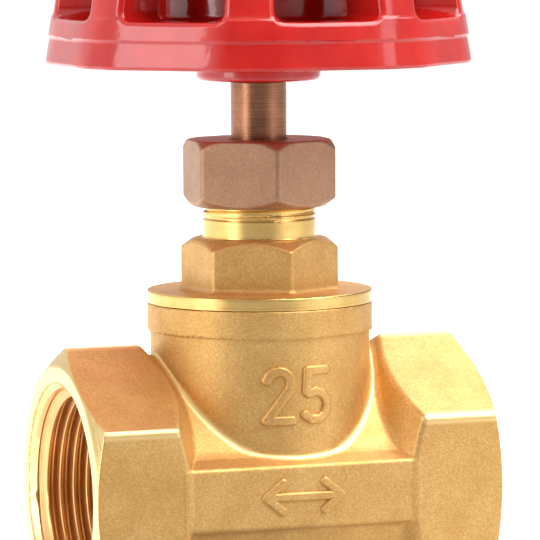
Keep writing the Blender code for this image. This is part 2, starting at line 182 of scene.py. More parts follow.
def contour(field, low, high, h):
    """Dual contour of field = 0 in a box with cells of size h: vertices and quads.

    Each cell's vertex is where the surface's tangent planes at its crossings meet best.
    """
    p, cell, leaving = crossings(field, low, high, h)
    for _ in range(2):
        d = field(*p.T)
        g = gradient(field, p)
        p = p - g * np.clip(d, -CROSSING_STEP * h, CROSSING_STEP * h)[:, None]
    n = gradient(field, p)
    ids, index = np.unique(cell.reshape(-1), return_inverse=True)
    owner = np.repeat(np.arange(len(p)), 4)
    count = np.bincount(index, minlength=len(ids)).astype(float)
    mean = np.stack([np.bincount(index, p[owner, m], len(ids)) for m in range(3)], 1)
    mean = mean / count[:, None]
    nn = n[owner]
    dist = ((p[owner] - mean[index]) * nn).sum(1)
    ata = np.empty((len(ids), 3, 3))
    atb = np.empty((len(ids), 3))
    for i in range(3):
        atb[:, i] = np.bincount(index, nn[:, i] * dist, len(ids))
        for j in range(i, 3):
            product = np.bincount(index, nn[:, i] * nn[:, j], len(ids))
            ata[:, i, j] = ata[:, j, i] = product
    ata += np.eye(3) * CENTRE_PULL
    shift = np.linalg.solve(ata, atb[:, :, None])[:, :, 0]
    length = np.maximum(np.linalg.norm(shift, axis=1), 1e-9)
    shift *= np.minimum(1.0, VERTEX_REACH * h / length)[:, None]
    faces = index.reshape(-1, 4)
    return mean + shift, np.where(leaving[:, None], faces, faces[:, ::-1])


def mesh_from(name, verts, faces):
    """A mesh in metres from vertices in millimetres."""
    mesh = bpy.data.meshes.new(name)
    mesh.vertices.add(len(verts))
    mesh.vertices.foreach_set("co", (verts * MM).astype(np.float32).ravel())
    size = faces.shape[1]
    mesh.loops.add(faces.size)
    mesh.loops.foreach_set("vertex_index", faces.astype(np.int32).ravel())
    mesh.polygons.add(len(faces))
    mesh.polygons.foreach_set("loop_start", np.arange(0, faces.size, size, dtype=np.int32))
    mesh.update(calc_edges=True)
    mesh.validate()
    return mesh


def thin_out(ob, keep):
    """Leaves about that share of an object's faces, fewest where it is flat."""
    dense = ob.data
    thin = ob.modifiers.new("Thin", "DECIMATE")
    thin.ratio = keep
    thin.use_collapse_triangulate = True
    graph = bpy.context.evaluated_depsgraph_get()
    ob.data = bpy.data.meshes.new_from_object(ob.evaluated_get(graph))
    ob.modifiers.clear()
    name = dense.name
    bpy.data.meshes.remove(dense)
    ob.data.name = name


def surface(name, field, low, high, h, body, materials, keep, zone=None):
    """Contours a field into an object that rides on a body; zone picks each face's material."""
    ob = bpy.data.objects.new(name, mesh_from(name, *contour(field, low, high, h)))
    bpy.context.scene.collection.objects.link(ob)
    thin_out(ob, keep)
    mesh = ob.data
    for material in materials:
        mesh.materials.append(material)
    at = np.empty(len(mesh.vertices) * 3, np.float32)
    mesh.vertices.foreach_get("co", at)
    at = at.reshape(-1, 3).astype(float) * 1000
    corner = np.empty(len(mesh.loops), np.int32)
    mesh.loops.foreach_get("vertex_index", corner)
    total = np.empty(len(mesh.polygons), np.int32)
    mesh.polygons.foreach_get("loop_total", total)
    owner = np.repeat(np.arange(len(total)), total)
    middle = np.stack([np.bincount(owner, at[corner, m]) for m in range(3)], 1) / total[:, None]
    if zone:
        mesh.polygons.foreach_set("material_index", zone(*middle.T).astype(np.int32))
    p = at[corner]
    normals = gradient(field, p + INWARD * (middle[owner] - p))
    face_n = np.empty(len(total) * 3, np.float32)
    mesh.polygons.foreach_get("normal", face_n)
    face_n = face_n.reshape(-1, 3)[owner]
    off = (normals * face_n).sum(1) < AGREEMENT
    normals[off] = face_n[off]
    mesh.polygons.foreach_set("use_smooth", np.ones(len(total), bool))
    mesh.normals_split_custom_set(normals.astype(np.float32))
    mesh.update()
    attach(ob, body)
    return ob


# --------------------------------------------------------------------------
# the pieces, as fields of x, y, z in millimetres
# --------------------------------------------------------------------------
# A bevel at 45 degrees adds two distances and scales the sum; a screw thread's field is
# scaled down too, since its flanks make it overstate the distance.
BEVEL, EVEN = 0.7, (0.7, 0.7)
GLAND_SCALE, SCREW_SCALE, THREAD_SCALE = 0.85, 0.6, 0.7
# body, outside: end faces, hexagons, barrel with its roof, band, neck and top ring
FACE_X, HEX_AF, TUBE_R, NECK_R = 34.65, 40.6, 19.3, 18.0
NECK_TOP, RING_Z, RING_R = 29.58, 25.1, 18.45
END_BEVEL_R, END_BEVEL = 20.2, (0.931, 0.364)
HEX_IN_X, HEX_IN_R, HEX_IN = 18.9, 20.3, (0.838, 0.545)
TUBE_X, SLOPE, SLOPE_R = 20.3, (0.747, 0.665), 16.9
ROOF, ROOF_LIFT, ROOF_TAN, RIDGE = (0.5, 0.8660), 0.1, 0.57735, 2.2  # RIDGE in mm squared
BAND_X, BAND_Y, BAND_HALF, BAND_BACK = 19.9, 20.22, 4.95, 14.0
BAND_DRAFT, BAND_COSINE = 0.45, 0.912
RING_FOOT = (0.8, -0.6)
# body, inside: pipe sockets and bore, then the room for the wedge and its guides
PIPE_PITCH, PIPE_MINOR, PIPE_DEPTH, PIPE_ROUND = 2.309, 15.15, 1.479, 0.317
SOCKET_R, SOCKET_X, MOUTH_R, BORE_R = 16.95, 20.9, 17.75, 10.0
THROAT_X, THROAT_RISE, THROAT_COSINE = 18.8, 2.4, 0.385
WELL_R, WELL_Z, SEAT_R, SEAT_Z = 15.4, 13.5, 17.3, 28.3
SLOT_X, SLOT_R, SLOT_TOP = 8.0, 13.2, 15.0
WEDGE_HALF, WEDGE_TILT, LAND_GAP, LAND_R, LAND_DEPTH = 6.2, math.radians(4.0), 0.25, 12.2, 4.0
GUIDE_X, GUIDE_IN, GUIDE_OUT, GUIDE_ENDS = 1.5, 10.3, 16.0, (-9.0, 23.0)
GUIDE_NECK_R, GUIDE_TUBE_R = 16.5, 15.0
# thread lining of a socket
SLEEVE_LOW, SLEEVE_HIGH, SLEEVE_BACK_R = 20.85, FACE_X - 0.8, SOCKET_R + 0.05
FLANK, CREST_STEPS, SLEEVE_COLUMNS = 27.5, 7, 120
MOUTH_OVERLAP, MOUTH_DEPTH, SHARP = 0.02, 1.1, math.radians(40)


def v_groove(axial, angle, pitch, minor, depth, flank):
    """Radius of a cut screw thread: minor at the crests, minor + depth in the grooves."""
    t = axial / pitch - angle / TAU
    a = np.abs(t - np.round(t)) * pitch
    slope = 1.0 / math.tan(math.radians(flank))
    peak = minor + depth / 2 + slope * pitch / 4
    return np.clip(peak - slope * a, minor, minor + depth)


def thread_sleeve(name, low, high, start):
    """Ring of pipe thread that lines one socket: Whitworth form, bevelled at the mouth."""
    bend = np.linspace(FLANK - 90, 90 - FLANK, CREST_STEPS)
    arc_along = PIPE_ROUND * np.sin(np.radians(bend)) / PIPE_PITCH
    drop = PIPE_ROUND * (1 - np.cos(np.radians(bend)))
    phase = np.concatenate([arc_along, 0.5 + arc_along])
    height = np.concatenate([PIPE_MINOR + PIPE_DEPTH - drop, PIPE_MINOR + drop])
    turns = np.arange(math.floor(low / PIPE_PITCH) - 2, math.ceil(high / PIPE_PITCH) + 2)
    t = (turns[:, None] + phase[None, :]).ravel()
    r = np.tile(height, len(turns))
    theta = np.arange(SLEEVE_COLUMNS + 1) * TAU / SLEEVE_COLUMNS
    lead = theta[None, :] / TAU + start
    at = np.clip((t[:, None] + lead) * PIPE_PITCH, low, high)
    rad = np.interp(at / PIPE_PITCH - lead, t, r)
    rad = np.maximum(rad, MOUTH_R - MOUTH_OVERLAP - FACE_X + np.abs(at))
    outer = np.full((1, SLEEVE_COLUMNS + 1), 1.0)
    at = np.vstack([at, outer * high, outer * low])
    rad = np.vstack([rad, outer * SLEEVE_BACK_R, outer * SLEEVE_BACK_R])
    verts = np.stack([at, rad * np.cos(theta), rad * np.sin(theta)], 2).reshape(-1, 3)
    rows, w = len(at), SLEEVE_COLUMNS + 1
    i, j = np.meshgrid(np.arange(rows), np.arange(SLEEVE_COLUMNS), indexing="ij")
    n = (i + 1) % rows
    faces = np.stack([i * w + j, n * w + j, n * w + j + 1, i * w + j + 1], -1).reshape(-1, 4)
    form = bmesh.new()
    corners = [form.verts.new(v * MM) for v in verts]
    for face in faces:
        form.faces.new([corners[k] for k in face])
    bmesh.ops.remove_doubles(form, verts=form.verts, dist=1e-6)
    bmesh.ops.recalc_face_normals(form, faces=form.faces)
    mesh = bpy.data.meshes.new(name)
    form.to_mesh(mesh)
    form.free()
    mesh.shade_smooth()
    mesh.set_sharp_from_angle(angle=SHARP)
    mesh.materials.append(BRASS_THREAD_SHADED)
    mesh.materials.append(BRASS_CUT)
    # faces deeper than the mouth take the thread copy with painted shade; the mouth keeps the
    # machined brass
    for face in mesh.polygons:
        face.material_index = int(abs(face.center.x) * 1000 > FACE_X - MOUTH_DEPTH)
    ob = bpy.data.objects.new(name, mesh)
    bpy.context.scene.collection.objects.link(ob)
    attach(ob, "valve_body")


def ports(x, y, z):
    """The way through the body: both sockets, left plain for their threads, and the bore."""
    ax, rho = np.abs(x), np.hypot(y, z)
    socket = both(rho - SOCKET_R, SOCKET_X - ax)
    socket = np.minimum(socket, (rho - MOUTH_R + FACE_X - ax) * 0.7071)
    funnel = ((rho - BORE_R) - (ax - THROAT_X) * THROAT_RISE) * THROAT_COSINE
    throat = both(rho - PIPE_MINOR, funnel)
    return np.minimum(np.minimum(socket, throat), rho - BORE_R)


def body_field(x, y, z):
    """The body casting, its sockets bored to the bottom of their threads."""
    ax, ay = np.abs(x), np.abs(y)
    rho, rv = np.hypot(y, z), np.hypot(x, y)
    flats = hexagon(z, y, HEX_AF, 0.0, 0.6)
    outer = both(slant(ax - FACE_X, rho - END_BEVEL_R, END_BEVEL), ax - FACE_X, 0.12)
    inner = slant(HEX_IN_X - ax, rho - HEX_IN_R, HEX_IN)
    ends = both(both(flats, inner, 0.6), outer, 0.15)
    rounded_y = np.sqrt(ay * ay + RIDGE)
    roof = slant(rounded_y, z, ROOF) - TUBE_R - ROOF_LIFT
    tube = np.where((z > 0) & (ay < ROOF_TAN * z), roof, rho - TUBE_R)
    tube = np.maximum(both(tube, slant(ay, z, SLOPE) - SLOPE_R, 1.5), ax - TUBE_X)
    ledge = (np.abs(z) - BAND_HALF - (BAND_Y - ay) * BAND_DRAFT) * BAND_COSINE
    band = both(both(both(ay - BAND_Y, ledge, 0.45), ax - BAND_X), BAND_BACK - ay)
    neck = both(both(rv - NECK_R, z - RING_Z - 1), 1.0 - z)
    ring = both(rv - RING_R, z - NECK_TOP, 0.12)
    ring = both(ring, slant(RING_Z - z, rv - RING_R, RING_FOOT), 0.15)
    solid = join(ends, tube, 0.7)
    solid = join(solid, band, 0.5)
    solid = join(solid, neck, 0.7)
    solid = join(solid, ring, 0.2)
    well = both(rv - WELL_R, WELL_Z - z)
    seat = both(rv - SEAT_R, SEAT_Z - z)
    slot = both(ax - SLOT_X, np.where(z > 0, ay - SLOT_R, rho - SLOT_R), 1.0)
    slot = both(slot, z - SLOT_TOP)
    hollow = np.minimum(join(well, slot, 0.8), seat)
    solid = less(solid, hollow, 0.3)
    ct, st = math.cos(WEDGE_TILT), math.sin(WEDGE_TILT)
    u = (ax - WEDGE_HALF - LAND_GAP) * ct - z * st
    w = (ax - WEDGE_HALF - LAND_GAP) * st + z * ct
    lands = both(both(-u, np.hypot(y, w) - LAND_R, 0.2), u - LAND_DEPTH)
    solid = join(solid, lands, 0.3)
    guides = both(ax - GUIDE_X, GUIDE_IN - ay, 0.3)
    guides = both(both(guides, slab(z, *GUIDE_ENDS)), ay - GUIDE_OUT)
    guides = np.maximum(guides, np.where(z > 0, rv - GUIDE_NECK_R, rho - GUIDE_TUBE_R))
    solid = join(solid, guides, 0.3)
    return less(solid, ports(x, y, z), 0.12)


# bonnet: hexagon, threaded tower for the packing nut, flange, spigot and what is bored out
BONNET_TURN, BONNET_AF = math.radians(-26.0), 22.7
BONNET_HEX_TOP, BONNET_BEVEL_R, BONNET_BEVEL = 40.15, 10.9, (0.8, 0.6)
BONNET_JOIN_Z, TOWER_R, TOWER_TOP, TOWER_BEVEL_R = 31.0, 9.3, 52.2, 8.8
GLAND_THREAD, GLAND_THREAD_ENDS = (1.5, -0.45, 0.45, 35.0), (44.0, 44.4)
UNDERCUT_R, UNDERCUT_AT = 0.4, (9.45, 43.55)
FLANGE_R, FLANGE_ENDS, FLANGE_BEVEL_Z = 18.42, (29.68, 31.73), 31.55
SPIGOT_R, SPIGOT_Z = 15.1, 24.0
ROD_WAY_R, PACKING_BOX_R, PACKING_BOX_Z = 4.95, 7.0, 46.2
COLLAR_WAY_R, COLLAR_WAY_ENDS, ROOM_R, ROOM_TOP = 7.5, (20.0, 44.6), 9.5, 38.2
BELL_R, BELL_Z, BELL_RISE, BELL_TOP = 13.3, 29.5, 1.583, 34.0


def bonnet_field(x, y, z):
    """The bonnet, with its fine thread for the packing nut."""
    rv = np.hypot(x, y)
    c, s = math.cos(BONNET_TURN), math.sin(BONNET_TURN)
    u, v = c * x + s * y, -s * x + c * y
    top = slant(z - BONNET_HEX_TOP, rv - BONNET_BEVEL_R, BONNET_BEVEL)
    top = both(top, z - BONNET_HEX_TOP, 0.2)
    nut = both(hexagon(u, v, BONNET_AF, 0.0, 0.55), top, 0.3)
    nut = both(nut, BONNET_JOIN_Z - z)
    groove = v_groove(z, np.arctan2(y, x), *GLAND_THREAD)
    tower = (rv - TOWER_R - groove * smooth_step(z, *GLAND_THREAD_ENDS)) * GLAND_SCALE
    undercut = UNDERCUT_R - np.hypot(rv - UNDERCUT_AT[0], z - UNDERCUT_AT[1])
    tower_top = (z - TOWER_TOP) + np.maximum(rv - TOWER_BEVEL_R, 0)
    tower = both(both(tower, undercut), tower_top, 0.15)
    flange = both(rv - FLANGE_R, slab(z, *FLANGE_ENDS), 0.12)
    flange = both(flange, slant(rv - FLANGE_R, z - FLANGE_BEVEL_Z, EVEN), 0.05)
    spigot = both(both(rv - SPIGOT_R, SPIGOT_Z - z, 0.3), z - BONNET_JOIN_Z)
    solid = join(join(nut, flange, 1.0), tower, 0.35)
    solid = np.minimum(solid, spigot)
    packing = both(rv - PACKING_BOX_R, PACKING_BOX_Z - z)
    collar = both(rv - COLLAR_WAY_R, slab(z, *COLLAR_WAY_ENDS))
    room = both(rv - ROOM_R, z - ROOM_TOP)
    bell = both(rv - np.clip(BELL_R - (z - BELL_Z) * BELL_RISE, ROOM_R, BELL_R), z - BELL_TOP)
    cavity = np.minimum(np.minimum(rv - ROD_WAY_R, packing), np.minimum(collar, room))
    return less(solid, np.minimum(cavity, bell), 0.12)


# packing nut
NUT_TURN, NUT_AF, NUT_LOW, NUT_TOP = math.radians(-36.0), 22.7, 45.3, 56.3
NUT_TOP_R, NUT_TOP_BEVEL, NUT_LOW_R, NUT_LOW_BEVEL = 11.75, (0.707, 0.707), 10.75, (0.82, 0.572)
NUT_BORE_R, NUT_BORE_TOP, NUT_MOUTH_R = 9.6, 54.0, 10.2


def nut_field(x, y, z):
    """The packing nut, its hexagon bevelled at both ends."""
    rv = np.hypot(x, y)
    c, s = math.cos(NUT_TURN), math.sin(NUT_TURN)
    u, v = c * x + s * y, -s * x + c * y
    top = both(slant(z - NUT_TOP, rv - NUT_TOP_R, NUT_TOP_BEVEL), z - NUT_TOP, 0.3)
    low = both(slant(NUT_LOW - z, rv - NUT_LOW_R, NUT_LOW_BEVEL), NUT_LOW - z, 0.15)
    solid = both(both(hexagon(u, v, NUT_AF, 0.0, 0.5), top, 0.3), low, 0.3)
    bore = np.minimum(both(rv - NUT_BORE_R, z - NUT_BORE_TOP), rv - ROD_WAY_R)
    mouth = (rv - NUT_MOUTH_R + (z - NUT_LOW)) * BEVEL
    return less(solid, np.minimum(bore, mouth), 0.12)


# stem, from its screw in the wedge up to the stud in the wheel's well
ROD_R, ROD_ENDS, ROD_LOW = 4.57, (41.8, 65.7), 42.0
STEM_COLLAR_R, STEM_COLLAR_ENDS = 6.9, (41.6, 43.5)
SCREW_R, SCREW_ENDS, SCREW_BEVEL = 4.4, (11.0, 42.0), (4.0, 11.4)
SCREW_PITCH, SCREW_DEPTH, SCREW_FLANK = 2.5, 1.25, 15.0
SQUARE_HALF, SQUARE_ENDS = 3.2, (65.0, 80.0)
STUD_R, STUD_PITCH, STUD_DEPTH, STUD_FLANK = 3.0, 1.0, 0.6, 30.0
STUD_LOW, STUD_TOP, STUD_BEVEL_R = 79.0, 88.2, 2.4


def stem_field(x, y, z):
    """The stem: left-hand screw, collar, plain rod, square for the wheel, threaded stud."""
    rv = np.hypot(x, y)
    angle = np.arctan2(y, x)
    rod = both(both(rv - ROD_R, slab(z, *ROD_ENDS), 0.25), ROD_LOW - z)
    collar = both(rv - STEM_COLLAR_R, slab(z, *STEM_COLLAR_ENDS), 0.2)
    groove = v_groove(z, -angle, SCREW_PITCH, 0.0, SCREW_DEPTH, SCREW_FLANK)
    screw = both((rv - (SCREW_R - SCREW_DEPTH + groove)) * SCREW_SCALE, slab(z, *SCREW_ENDS))
    screw = both(screw, slant(SCREW_BEVEL[1] - z, rv - SCREW_BEVEL[0], EVEN))
    square = both(np.abs(x) - SQUARE_HALF, np.abs(y) - SQUARE_HALF, 0.2)
    square = both(both(square, slab(z, *SQUARE_ENDS), 0.3), rv - SCREW_R, 0.1)
    thread = STUD_R - STUD_DEPTH + v_groove(z, angle, STUD_PITCH, 0.0, STUD_DEPTH, STUD_FLANK)
    stud = both((rv - thread) * THREAD_SCALE, slant(z - STUD_TOP, rv - STUD_BEVEL_R, EVEN), 0.1)
    stud = both(both(stud, z - STUD_TOP), STUD_LOW - z)
    return np.minimum(np.minimum(join(join(rod, collar, 0.3), screw, 0.1), square), stud)


# wedge
DISC_R, WAIST_R, BOSS_R, BOSS_ENDS = 11.6, 10.6, 6.6, (8.0, 16.0)
WEDGE_THREAD_R, WEDGE_HOLE_R, WEDGE_HOLE_TOP = 3.55, 4.8, 6.0
GROOVE_X, GROOVE_IN, SIDE_X, SIDE_R = 1.9, 9.9, 2.6, 9.0


def wedge_field(x, y, z):
    """The gate: a tapered disc, threaded for the stem and grooved for the guides."""
    ax, ay = np.abs(x), np.abs(y)
    rv, rho = np.hypot(x, y), np.hypot(y, z)
    half = WEDGE_HALF + z * math.tan(WEDGE_TILT)
    disc = both(rho - DISC_R, (ax - half) * math.cos(WEDGE_TILT), 0.3)
    waist = both(rho - WAIST_R, ax - half)
    boss = both(both(rv - BOSS_R, z - BOSS_ENDS[1], 0.5), BOSS_ENDS[0] - z)
    solid = join(np.minimum(disc, waist), boss, 0.8)
    angle = np.arctan2(y, x)
    groove = v_groove(z, -angle, SCREW_PITCH, 0.0, SCREW_DEPTH, SCREW_FLANK)
    hole = (rv - (WEDGE_THREAD_R + groove)) * THREAD_SCALE
    hole = np.minimum(hole, both(rv - WEDGE_HOLE_R, z - WEDGE_HOLE_TOP))
    grooves = both(ax - GROOVE_X, GROOVE_IN - ay, 0.2)
    side = both(SIDE_R - rho, ax - SIDE_X)
    return less(less(less(solid, hole, 0.1), grooves, 0.2), side, 0.3)


# handwheel
LOBES, LOBE_STEP, RIM_R, RIM_Z, WHEEL_TOP, DRAFT = 8, 1.35, 34.9, 68.6, 90.0, 0.17
SKIRT_WALL, WHEEL_WALL, UPPER_LOW = 3.6, 8.0, 73.6
SILL, LINTEL, WINDOW_IN, RIB_HALF = 76.2, 84.6, 19.0, 3.8
HUB_R, HUB_ENDS, FOOT_R, FOOT_ENDS = 9.9, (65.9, 75.0), 10.2, (65.9, 68.3)
CORE_R, CHANNEL_ENDS, DISH_R, DISH_Z = 17.2, (75.7, 87.0), 14.4, 80.3
WHEEL_SQUARE_HALF = 3.5
LEAN = math.cos(math.atan(DRAFT))


def wheel_field(x, y, z):
    """Dished wheel of eight lobes, its windows opening on a ring channel round the core."""
    rv = np.hypot(x, y)
    lobe = TAU / LOBES
    turn = np.arctan2(x, -y)
    local = turn - np.round(turn / lobe) * lobe
    c, s = rv * np.cos(local), np.abs(rv * np.sin(local))
    wall = RIM_R - DRAFT * (z - RIM_Z)
    outside = both((rv - wall) * LEAN, (c - (wall - LOBE_STEP)) * LEAN, 0.9)
    skirt = both(both(outside, RIM_Z - z, 0.7), (wall - SKIRT_WALL - rv) * LEAN, 0.5)
    skirt = both(skirt, z - SILL)
    upper = both(both(outside, z - WHEEL_TOP, 1.8), UPPER_LOW - z)
    hub = both(rv - HUB_R, slab(z, *HUB_ENDS), 0.5)
    foot = both(rv - FOOT_R, slab(z, *FOOT_ENDS), 0.7)
    solid = join(join(skirt, upper, 1.0), np.minimum(hub, foot), 1.2)
    solid = less(solid, both(rv - DISH_R, DISH_Z - z, 1.0), 0.9)
    to_rib = c * math.sin(lobe / 2) - s * math.cos(lobe / 2)
    window = both(both(RIB_HALF - to_rib, slab(z, SILL, LINTEL), 1.9), WINDOW_IN - rv)
    channel = both((rv - wall + WHEEL_WALL) * LEAN, CORE_R - rv)
    channel = both(channel, slab(z, *CHANNEL_ENDS), 1.4)
    solid = less(solid, np.minimum(window, channel), 0.9)
    square = both(np.abs(x) - WHEEL_SQUARE_HALF, np.abs(y) - WHEEL_SQUARE_HALF, 0.2)
    return less(solid, square, 0.3)


# nut and washers in the wheel's well
WHEEL_NUT_AF, WHEEL_NUT_ENDS, WHEEL_NUT_BEVEL_R, WHEEL_NUT_BEVEL = (
    10.0, (83.7, 88.5), 4.75, (0.87, 0.5))
STUD_HOLE_R, STUD_MOUTH_R = 3.3, 3.7
WASHER_R, WASHER_ENDS, SPRING_R, SPRING_ENDS = 7.5, (80.6, 81.8), 5.4, (82.1, 83.4)
SPLIT_Z, SPLIT_LEAN, SPLIT_HALF, SPLIT_X = 82.75, 0.5, 0.5, 2.0


def hex_nut_field(x, y, z):
    rv = np.hypot(x, y)
    low, high = WHEEL_NUT_ENDS
    top = both(slant(z - high, rv - WHEEL_NUT_BEVEL_R, WHEEL_NUT_BEVEL), z - high, 0.05)
    solid = both(both(hexagon(x, y, WHEEL_NUT_AF, 0.0, 0.15), top, 0.1), low - z, 0.1)
    mouth = (rv - STUD_MOUTH_R - (z - high)) * BEVEL
    return less(solid, np.minimum(rv - STUD_HOLE_R, mouth), 0.05)


def washer_field(x, y, z):
    rv = np.hypot(x, y)
    return both(both(rv - WASHER_R, slab(z, *WASHER_ENDS), 0.15), STUD_HOLE_R - rv, 0.1)


def split_washer_field(x, y, z):
    rv = np.hypot(x, y)
    ring = both(both(rv - SPRING_R, slab(z, *SPRING_ENDS), 0.1), STUD_HOLE_R - rv, 0.1)
    gap = both(np.abs(y + (z - SPLIT_Z) * SPLIT_LEAN) - SPLIT_HALF, SPLIT_X - x)
    return less(ring, gap, 0.05)


# cast marks: the size on the neck and a two-way arrow on the band
def arc(cx, cz, r, a, b, n=9):
    """Points of an arc from a to b degrees."""
    turns = [math.radians(a + (b - a) * i / (n - 1)) for i in range(n)]
    return [(cx + r * math.cos(t), cz + r * math.sin(t)) for t in turns]


TWO = arc(-3.3, 18.0, 2.0, 165, -35) + [(-5.3, 12.0), (-1.2, 12.0)]
FIVE = [(4.9, 20.0), (1.6, 20.0), (1.4, 16.6)] + arc(2.9, 14.3, 2.3, 120, -140)
SHAFT = [(-6.0, 0.0), (6.0, 0.0)]
HEADS = [[(side * 3.6, 2.3), (side * 6.4, 0.0), (side * 3.6, -2.3)] for side in (-1, 1)]
DIGIT_WIDTH, ARROW_WIDTH, MARK_HEIGHT, MARK_ROOT, ARROW_BACK = 1.65, 1.5, 0.55, 0.45, 19.7


def mark_field(x, y, z):
    """The size mark cast on the neck: the number 25."""
    digits = np.minimum(stroke(x, z, TWO, DIGIT_WIDTH), stroke(x, z, FIVE, DIGIT_WIDTH))
    rv = np.hypot(x, y)
    front = np.maximum(NECK_R - MARK_ROOT - rv, y)
    return both(both(digits, rv - NECK_R - MARK_HEIGHT, 0.5), front)


def arrow_field(x, y, z):
    """A plain two-way flow arrow cast on the band."""
    d = stroke(x, z, SHAFT, ARROW_WIDTH)
    for head in HEADS:
        d = np.minimum(d, stroke(x, z, head, ARROW_WIDTH))
    return both(both(d, -y - BAND_Y - 0.5, 0.45), ARROW_BACK + y)


# --------------------------------------------------------------------------
# materials
# --------------------------------------------------------------------------
class Look:
    """A Principled material whose fine detail comes from nodes in object space."""

    def __init__(self, name, colour, roughness, metallic=0.0, **fixed):
        self.mat = bpy.data.materials.new(name)
        self.mat.use_nodes = True
        self.tree = self.mat.node_tree
        self.shader = self.tree.nodes["Principled BSDF"]
        self.shader.inputs["Base Color"].default_value = (*colour, 1)
        self.shader.inputs["Roughness"].default_value = roughness
        self.shader.inputs["Metallic"].default_value = metallic
        for key, value in fixed.items():
            self.shader.inputs[key.replace("_", " ")].default_value = value
        self.mm = self.add("ShaderNodeVectorMath", operation="SCALE")
        self.wire(self.add("ShaderNodeTexCoord").outputs["Object"], self.mm.inputs[0])
        self.mm.inputs["Scale"].default_value = 1000.0
        self.point = self.mm.outputs[0]

    def add(self, kind, **settings):
        node = self.tree.nodes.new(kind)
        for key, value in settings.items():
            setattr(node, key, value)
        return node

    def wire(self, out, target):
        self.tree.links.new(out, target)

    def noise(self, per_mm, detail=2.0, rough=0.5):
        node = self.add("ShaderNodeTexNoise")
        node.inputs["Scale"].default_value = per_mm
        node.inputs["Detail"].default_value = detail
        node.inputs["Roughness"].default_value = rough
        self.wire(self.point, node.inputs["Vector"])
        return node.outputs["Fac"]

    def grains(self, per_mm):
        """One random value for each cell of a Voronoi pattern."""
        node = self.add("ShaderNodeTexVoronoi")
        node.inputs["Scale"].default_value = per_mm
        self.wire(self.point, node.inputs["Vector"])
        split = self.add("ShaderNodeSeparateColor")
        self.wire(node.outputs["Color"], split.inputs[0])
        return split.outputs[0]

    def axes(self):
        """x, y and z in millimetres."""
        split = self.add("ShaderNodeSeparateXYZ")
        self.wire(self.point, split.inputs[0])
        return list(split.outputs)

    def ramp(self, value, stops):
        node = self.add("ShaderNodeValToRGB")
        marks = node.color_ramp.elements
        while len(marks) < len(stops):
            marks.new(0.5)
        for mark, (at, colour) in zip(marks, stops):
            mark.position = at
            mark.color = (*colour, 1)
        self.wire(value, node.inputs[0])
        return node.outputs[0]

    def span(self, value, a, b, c, d):
        """value, with its range a to b stretched to c to d and held there."""
        node = self.add("ShaderNodeMapRange")
        for key, v in zip(("From Min", "From Max", "To Min", "To Max"), (a, b, c, d)):
            node.inputs[key].default_value = v
        self.wire(value, node.inputs["Value"])
        return node.outputs[0]

    def math(self, operation, a, b=0.0):
        node = self.add("ShaderNodeMath", operation=operation)
        for socket, v in zip(node.inputs, (a, b)):
            if isinstance(v, (int, float)):
                socket.default_value = v
            else:
                self.wire(v, socket)
        return node.outputs[0]

    def weighed(self, *terms):
        """Sum of values, each times its weight."""
        total = None
        for value, weight in terms:
            term = self.math("MULTIPLY", value, weight)
            total = term if total is None else self.math("ADD", total, term)
        return total

    def radius(self, a, b):
        """Length of the vector a, b."""
        return self.math("SQRT", self.weighed((a, a), (b, b)))

    def mix(self, fac, a, b):
        """Colour a where fac is 0, b where it is 1."""
        node = self.add("ShaderNodeMix", data_type="RGBA")
        for socket, v in ((node.inputs[0], fac), (node.inputs[6], a), (node.inputs[7], b)):
            if isinstance(v, tuple):
                socket.default_value = (*v, 1)
            else:
                self.wire(v, socket)
        return node.outputs[2]

    def bump(self, height, distance_mm, strength, before=None):
        node = self.add("ShaderNodeBump")
        node.inputs["Strength"].default_value = strength
        node.inputs["Distance"].default_value = distance_mm * MM
        self.wire(height, node.inputs["Height"])
        if before is not None:
            self.wire(before, node.inputs["Normal"])
        return node.outputs[0]

    def colour(self, out):
        self.wire(out, self.shader.inputs["Base Color"])

    def roughness(self, out):
        self.wire(out, self.shader.inputs["Roughness"])

    def normal(self, out):
        self.wire(out, self.shader.inputs["Normal"])


# patterns of a blasted casting, in cells per mm, and how much each weighs in its tone; the
# Voronoi cells are grain and painted glints at once
GRAIN_AND_GLINT_CELLS, FINE, CLOUD, DULLING, WAVES, GRIT = 5.0, 6.5, 0.16, 0.5, 0.35, 2.9
GRAIN_AND_GLINT_WEIGHT, FINE_WEIGHT, CLOUD_WEIGHT = 0.24, 0.38, 0.38
RUBBED_GLOSS = 0.16


def blasted(name, dark, mid, light, rough, metallic, edges=None):
    """Grit-blasted casting: fine grains, whose cells stand partly for painted glints, faint
    waviness; where a mask is given the colour is lightened there, as rubbed metal and painted
    highlight.
    """
    look = Look(name, mid, rough, metallic)
    # random Voronoi cells: grain tone, and painted glints
    tone = look.weighed((look.grains(GRAIN_AND_GLINT_CELLS), GRAIN_AND_GLINT_WEIGHT),
                        (look.noise(FINE, 2.0, 0.6), FINE_WEIGHT),
                        (look.noise(CLOUD, 3.0, 0.55), CLOUD_WEIGHT))
    shade = look.ramp(tone, [(0.28, dark), (0.50, mid), (0.80, light)])
    dull = look.span(look.noise(DULLING, 3.0), 0.3, 0.7, rough - 0.04, rough + 0.05)
    if edges:
        rub_and_highlight = edges(look)
        # the colour goes to the light tone under the mask: rubbed metal at the hexagon's corners,
        # painted highlight there and along the neck's foot
        shade = look.mix(rub_and_highlight, shade, light)
        dull = look.math("SUBTRACT", dull, look.math("MULTIPLY", rub_and_highlight, RUBBED_GLOSS))
    look.colour(shade)
    look.roughness(dull)
    coarse = look.bump(look.noise(WAVES, 2.0), 0.12, 0.35)
    look.normal(look.bump(look.noise(GRIT, 3.0, 0.65), 0.07, 0.5, coarse))
    return look.mat


# where the body is rubbed and where a highlight is painted on it, in mm: each mask rises or falls
# between two values
CORNER_R, CORNER_X_SQUARED = (22.75, 22.95), (360.0, 380.0)
FOOT_R_RISE, FOOT_R_FALL = (18.05, 18.2), (18.7, 18.95)
FOOT_Z_RISE, FOOT_Z_FALL = (5.1, 5.4), (23.6, 24.4)


